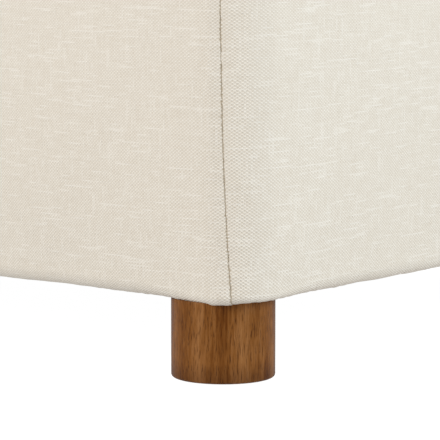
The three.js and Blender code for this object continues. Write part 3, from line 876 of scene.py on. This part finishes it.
def wood_material(name, dark, mid, light, along, stretch, roughness, specular, pore_depth,
                  rings=None):
    """Stained or bare wood with its grain along one axis. rings is the direction, spacing and
    phase of its growth rings, and the place of one dark streak across them; wood with rings is a
    foot, with painted contact shadow that darkens it where it meets the floor."""
    tree = Tree(name)
    scale = [1.0, 1.0, 1.0]
    scale["XYZ".index(along)] = 1 / stretch
    grain = tree.vector("MULTIPLY", tree.place(), scale)
    warp = tree.noise(grain, 30.0, 2.0)
    shift = tree.math("MULTIPLY", tree.math("SUBTRACT", warp, 0.5), 0.012)
    bent = tree.vector("ADD", grain, tree.combine(shift, shift, shift))
    broad = tree.noise(bent, 60.0, 2.0, 0.55)
    streak = tree.noise(bent, 620.0, 3.0, 0.65)
    fine = tree.noise(bent, 1700.0, 2.0, 0.6)
    if rings:
        direction, spacing, phase, heart = rings
        across = tree.node(
            "ShaderNodeVectorMath", {0: bent, 1: direction}, operation="DOT_PRODUCT",
        ).outputs["Value"]
        ring = tree.math("SINE", tree.math(
            "ADD", tree.math("MULTIPLY", across, 2 * math.pi / spacing), phase,
        ))
        broad = tree.math("ADD", tree.weighted((broad, 0.55), (ring, 0.07)), 0.225)
        from_heart = tree.math("ABSOLUTE", tree.math("SUBTRACT", across, heart))
        broad = tree.math("SUBTRACT", broad, tree.remap(from_heart, 0.0075, 0.002, 0.0, 0.16))
    value = tree.weighted((broad, 0.64), (streak, 0.36))
    ramp = tree.node("ShaderNodeValToRGB", {"Fac": value})
    stops = ramp.color_ramp.elements
    stops[0].position, stops[0].color = 0.38, dark
    stops[1].position, stops[1].color = 0.61, light
    middle = stops.new(0.48)
    middle.color = mid
    pore = tree.remap(fine, 0.54, 0.66)
    colour = tree.mix(tree.math("MULTIPLY", pore, pore_depth), ramp.outputs["Color"], dark, "MULTIPLY")
    if rings:
        # Painted contact shadow: the foot's colour is multiplied darker below 14 mm from the floor,
        # most at the bottom.
        shade = tree.remap(tree.level(), 0.014, 0.004, 0.0, 0.38)
        colour = tree.mix(shade, colour, dark, "MULTIPLY")
    height = tree.weighted((streak, 0.4), (pore, -0.8))
    rough = tree.math("ADD", tree.remap(streak, 0.3, 0.7, -0.05, 0.07), roughness)
    return tree.finish(
        Base_Color=colour, Roughness=rough, Normal=tree.bump(height, 0.2, 0.0002),
        Specular_IOR_Level=specular,
    )


def metal_material(name, colour, roughness):
    tree = Tree(name)
    place = tree.place()
    blotch = tree.noise(place, 160.0, 3.0, 0.6)
    scratch = tree.noise(tree.vector("MULTIPLY", place, (1.0, 14.0, 14.0)), 300.0, 2.0, 0.7)
    tone = tree.remap(blotch, 0.3, 0.7, 0.82, 1.06)
    shade = tree.vector("MULTIPLY", colour[:3], tree.combine(tone, tone, tone))
    rough = tree.math("ADD", tree.remap(scratch, 0.3, 0.7, -0.08, 0.12), roughness)
    return tree.finish(
        Base_Color=shade, Metallic=1.0, Roughness=rough, Normal=tree.bump(scratch, 0.12, 0.0001),
    )


def fleece_material(name, base, other, scale, roughness=0.95, strength=0.5, distance=0.0006):
    """Felt, foam, rubber and spun-bonded cloth: a fine random grain with two tones."""
    tree = Tree(name)
    place = tree.place()
    grain = tree.noise(place, scale, 3.0, 0.7)
    cell = tree.node("ShaderNodeTexVoronoi", {"Vector": place, "Scale": scale * 1.7}).outputs[0]
    value = tree.weighted((grain, 0.7), (cell, 0.3))
    colour = tree.mix(tree.remap(value, 0.3, 0.65), base, other)
    return tree.finish(
        Base_Color=colour, Roughness=roughness, Normal=tree.bump(value, strength, distance),
        Specular_IOR_Level=0.3,
    )


LOOK_OF_SLOT = {
    # The second colour of each weave is its gaps: partly the holes, partly painted shade between
    # threads.
    "linen_cloth": linen_material(
        "linen_weave", linear(229, 220, 207), linear(192, 178, 156), linear(241, 235, 225),
    ),
    "lining_cloth": linen_material(
        "lining_weave", linear(176, 167, 153), linear(120, 112, 100), linear(196, 188, 175),
        (0.0007, 0.0007),
    ),
    "stained_walnut": wood_material(
        "stained_walnut_wood", linear(92, 47, 3), linear(124, 76, 30), linear(152, 103, 58),
        "Z", 11.0, 0.38, 0.1, 0.62, ((0.787, 0.617, 0.0), 0.028, 2.11, 0.1037),
    ),
    "plywood": wood_material(
        "birch_plywood", linear(178, 140, 96), linear(205, 170, 125), linear(222, 192, 150),
        "X", 8.0, 0.62, 0.3, 0.35,
    ),
    "zinc_steel": metal_material("zinc_plate", linear(196, 198, 200), 0.33),
    "felt": fleece_material("grey_felt", linear(58, 53, 48), linear(92, 86, 79), 900.0),
    "foam": fleece_material("cut_foam", linear(238, 229, 196), linear(222, 210, 172), 450.0),
    "rubber": fleece_material(
        "black_rubber", linear(24, 24, 24), linear(40, 40, 40), 700.0, 0.7, 0.2, 0.0003,
    ),
    "dust_cloth": fleece_material(
        "spun_dust_cloth", linear(30, 30, 32), linear(56, 56, 58), 1100.0, 0.9, 0.6, 0.0004,
    ),
}


def paint(obj, material):
    obj.data.materials.clear()
    obj.data.materials.append(material)


def finish_piece(obj, body, slot, *nodes):
    """Gives a new piece its material and its body, and hides the CAD nodes that it stands for."""
    paint(obj, LOOK_OF_SLOT[slot])
    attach(obj, body)
    if nodes:
        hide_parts(*nodes)


def paint_frame():
    for part in frame["record"]["subparts"]:
        paint(frame["nodes"][part["node"]], LOOK_OF_SLOT[part["material_slot"]])


# Feet

def round_part(node):
    """Low and high corner, centre in plan and radius of a round CAD node."""
    low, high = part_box(node)
    return low, high, ((low.x + high.x) / 2, (low.y + high.y) / 2), (high.x - low.x) / 2


def leg(corner):
    node = f"{corner}_leg"
    low, high, centre, radius = round_part(node)
    fillet = 0.0019
    recess = 0.0203
    hole = 0.0043
    hole_end = low.z + 0.019
    recess_top = low.z + 0.0025
    profile = [(0, recess_top), (recess, recess_top), (recess, low.z)]
    profile += arc_profile(radius - fillet, low.z + fillet, fillet, -QUARTER, 0)
    profile += [(radius, low.z + (high.z - low.z) * step / 6) for step in range(1, 6)]
    profile += arc_profile(radius - 0.0006, high.z - 0.0006, 0.0006, 0, QUARTER, 3)
    profile += [(hole, high.z), (hole, hole_end), (0, hole_end)]
    obj = turned(f"{corner}_foot", profile, centre, 128)
    soften(obj, 0.0002)
    finish_piece(obj, "base", "stained_walnut", node)


def glide(corner):
    node = f"{corner}_glide"
    low, high, centre, radius = round_part(node)
    profile = [(0, low.z), (radius - 0.0008, low.z)]
    profile += arc_profile(radius - 0.0008, low.z + 0.0008, 0.0008, -QUARTER, 0, 4)
    profile += [(radius, high.z), (0, high.z)]
    obj = turned(f"{corner}_felt_pad", profile, centre, 64)
    finish_piece(obj, "base", "felt", node)


# Small fasteners: the heads of the wood screws in the hinges and stays, and the staples that
# hold the dust sheet

SCREW_RADIUS = 0.0033
LEAF = 0.0012
LEAF_GAP = 0.0003
HINGE_SCREWS = (-0.022, 0, 0.022)
HINGE_SCREW_INSET = 0.0125
STAPLES = 46
STAPLE_INSET = 0.0235


def screw_head():
    """Points and faces of one countersunk head with a crossed slot, its plate's face at height 0."""
    proud = 0.00025
    head = turned("screw_head", [
        (0, -0.0011), (0.0021, -0.0011), (SCREW_RADIUS, 0), (SCREW_RADIUS - 0.0001, 0.00012),
        (SCREW_RADIUS - 0.0006, proud), (0, proud),
    ], (0, 0), 32)
    arm, half = 0.0019, 0.00045
    plan = [(arm, half), (half, half), (half, arm)]
    for _ in range(3):
        plan += [(-y, x) for x, y in plan[-3:]]
    count = len(plan)
    vertices = [(x, y, -0.0007) for x, y in plan] + [(x, y, 0.001) for x, y in plan]
    faces = [tuple(range(count))[::-1], tuple(range(count, 2 * count))]
    faces += [
        (step, (step + 1) % count, (step + 1) % count + count, step + count)
        for step in range(count)
    ]
    slot = mesh_object("screw_slot", vertices, faces)
    cross = head.modifiers.new("crossed slot", "BOOLEAN")
    cross.object = slot
    cross.operation = "DIFFERENCE"
    apply_modifiers(head)
    points = [vertex.co.copy() for vertex in head.data.vertices]
    faces = [tuple(face.vertices) for face in head.data.polygons]
    bpy.data.objects.remove(slot)
    bpy.data.objects.remove(head)
    return points, faces


def screws(name, body, head, places):
    """Copies of a screw head at places given as (point, direction that the head faces)."""
    source = random.Random(name)
    vertices = []
    faces = []
    points, outline = head
    for place, facing in places:
        turn = Matrix.Rotation(source.uniform(0, QUARTER), 3, "Z")
        stand = Vector(facing).to_track_quat("Z", "Y").to_matrix() @ turn
        first = len(vertices)
        vertices += [stand @ point + Vector(place) for point in points]
        faces += [tuple(first + corner for corner in face) for face in outline]
    obj = mesh_object(name, vertices, faces, False)
    finish_piece(obj, body, "zinc_steel")


def hardware_screws():
    """Three screws in each leaf of the hinges, and two in each bracket of the stays."""
    head = screw_head()
    in_body = []
    in_lid = []
    for name, side in [("right", 1), ("left", -1)]:
        low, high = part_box(f"{name}_hinge_body_leaf")
        for along in HINGE_SCREWS:
            x, y = (low.x + high.x) / 2 + along, low.y + HINGE_SCREW_INSET
            in_body.append(((x, y, BODY_HIGH + LEAF_GAP + LEAF), (0, 0, 1)))
            in_lid.append(((x, y, LID_LOW - LEAF_GAP - LEAF), (0, 0, -1)))
        low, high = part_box(f"{name}_stay_body_bracket")
        face = side * (max(abs(low.x), abs(high.x)) - 0.002)
        for along in (-0.008, 0.008):
            in_body.append(((face, (low.y + high.y) / 2 + along, low.z + 0.010), (-side, 0, 0)))
        low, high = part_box(f"{name}_stay_lid_bracket")
        x = side * (min(abs(low.x), abs(high.x)) + 0.009)
        for along in (-0.009, 0.009):
            in_lid.append(((x, (low.y + high.y) / 2 + along, high.z - 0.0015), (0, 0, -1)))
    screws("body_screws", "base", head, in_body)
    screws("lid_screws", "lid", head, in_lid)


def dust_sheet_staples():
    """Staples along the edge of the dust sheet, except over the feet."""
    source = random.Random(17)
    length, width, height = 0.0105, 0.0013, 0.0005
    centre, out = outline_place(np.arange(STAPLES) * OUTLINE / STAPLES + 0.012)
    middles = centre + out * (CORNER_RADIUS - STAPLE_INSET)
    _, _, foot, radius = round_part("front_right_leg")
    clear = radius + 0.008
    vertices = []
    faces = []
    for middle, direction in zip(middles, out):
        if math.hypot(abs(middle[0]) - foot[0], abs(middle[1]) + foot[1]) < clear:
            continue
        across = Vector((direction[0], direction[1], 0)).normalized()
        across.rotate(Matrix.Rotation(source.uniform(-0.12, 0.12), 3, "Z"))
        along = across.cross(Vector((0, 0, 1)))
        level = BODY_LOW - 0.00025 + source.uniform(-0.00005, 0.00005)
        first = len(vertices)
        for down in (0, 1):
            shrink = 1 - 0.12 * down
            for a, b in [(-1, -1), (1, -1), (1, 1), (-1, 1)]:
                point = Vector((middle[0], middle[1], level - height * down))
                vertices.append(point + (along * length * a * shrink + across * width * b) / 2)
        box_faces = [(0, 1, 2, 3), (7, 6, 5, 4), (0, 4, 5, 1), (1, 5, 6, 2), (2, 6, 7, 3), (3, 7, 4, 0)]
        faces += [tuple(first + corner for corner in face) for face in box_faces]
    obj = mesh_object("dust_sheet_staples", vertices, faces, False)
    tidy_mesh(obj)
    soften(obj, 0.00012)
    finish_piece(obj, "base", "zinc_steel")


# Camera, light and stage

CAMERA_AZIMUTH = 38.12
CAMERA_ELEVATION = 7.15
CAMERA_DISTANCE = 1.7721
CAMERA_LEFT = 0.01495
CAMERA_UP = 0.05251
CAMERA_LENS = 245.45455
SOFTBOX_SIZE = 3.1
SOFTBOX_DISTANCE = 7.0
SKY_LIGHT = 0.70
FLOOR_GLOW = 0.985


def direction(azimuth, elevation):
    """Away from the object: azimuth from its front toward its right, in degrees."""
    turn, lift = math.radians(azimuth), math.radians(elevation)
    return Vector((
        math.sin(turn) * math.cos(lift), -math.cos(turn) * math.cos(lift), math.sin(lift),
    ))


def softbox(name, azimuth, elevation, power, colour):
    data = bpy.data.lights.new(name, "AREA")
    data.size = SOFTBOX_SIZE
    data.energy = power
    data.color = colour
    light = link(bpy.data.objects.new(name, data))
    away = direction(azimuth, elevation)
    light.location = Vector((0.2, -0.1, 0.2)) + away * SOFTBOX_DISTANCE
    light.rotation_euler = away.to_track_quat("Z", "Y").to_euler()


def studio():
    scene = bpy.context.scene
    scene.view_settings.view_transform = "Standard"
    camera_data = bpy.data.cameras.new("camera")
    camera_data.sensor_width = 36
    camera_data.lens = CAMERA_LENS
    camera_data.clip_end = 50
    camera = link(bpy.data.objects.new("camera", camera_data))
    forward = -direction(CAMERA_AZIMUTH, CAMERA_ELEVATION)
    target = Vector((HALF_X, -HALF_Y, 0.05))
    turn = math.radians(CAMERA_AZIMUTH)
    right = Vector((math.cos(turn), math.sin(turn), 0))
    up = right.cross(forward)
    place = target - forward * CAMERA_DISTANCE - right * CAMERA_LEFT + up * CAMERA_UP
    camera.matrix_world = Matrix.Translation(place) @ Matrix((
        (right.x, up.x, -forward.x, 0),
        (right.y, up.y, -forward.y, 0),
        (right.z, up.z, -forward.z, 0),
        (0, 0, 0, 1),
    ))
    scene.camera = camera

    world = bpy.data.worlds.new("studio")
    world.use_nodes = True
    sky = world.node_tree.nodes["Background"].inputs
    sky["Color"].default_value = (1, 1, 1, 1)
    sky["Strength"].default_value = SKY_LIGHT
    scene.world = world

    floor = mesh_object(
        "floor", [(-9, -9, 0), (9, -9, 0), (9, 9, 0), (-9, 9, 0)], [(0, 1, 2, 3)], False,
    )
    tree = Tree("pale_floor")
    speck = tree.noise(tree.place(), 60.0, 3.0)
    tone = tree.remap(speck, 0.3, 0.7, 0.28, 0.30)
    tree.finish(
        Base_Color=tree.combine(tone, tone, tone), Roughness=0.9, Specular_IOR_Level=0.0,
        Emission_Color=(1, 1, 1, 1), Emission_Strength=FLOOR_GLOW,
    )
    paint(floor, tree.material)
    floor.visible_diffuse = False
    floor.visible_glossy = False
    floor.visible_shadow = False

    softbox("front_softbox", -24, 29, 208, (1.0, 1.0, 0.97))
    softbox("right_softbox", 105, 29, 249, (0.86, 0.96, 1.0))


paint_frame()
swell = wall_swell()
for side_index in range(4):
    body_cover(side_index, swell)
    wall_pad(side_index)
for corner_name in CORNERS:
    leg(corner_name)
    glide(corner_name)
hardware_screws()
dust_sheet_staples()
lid_pad()
lid_band()
lid_top()
storage_liner()
flat_sheet(
    "dust_sheet", "dust_cover", "base", BODY_LOW - 0.0002, 0.019, 0.0006,
    "dust_cloth", 71,
)
flat_sheet(
    "lid_lining_sheet", "lid_lining", "lid", LID_LOW - 0.0003, 0.021, -0.0006,
    "lining_cloth", 73,
)
studio()
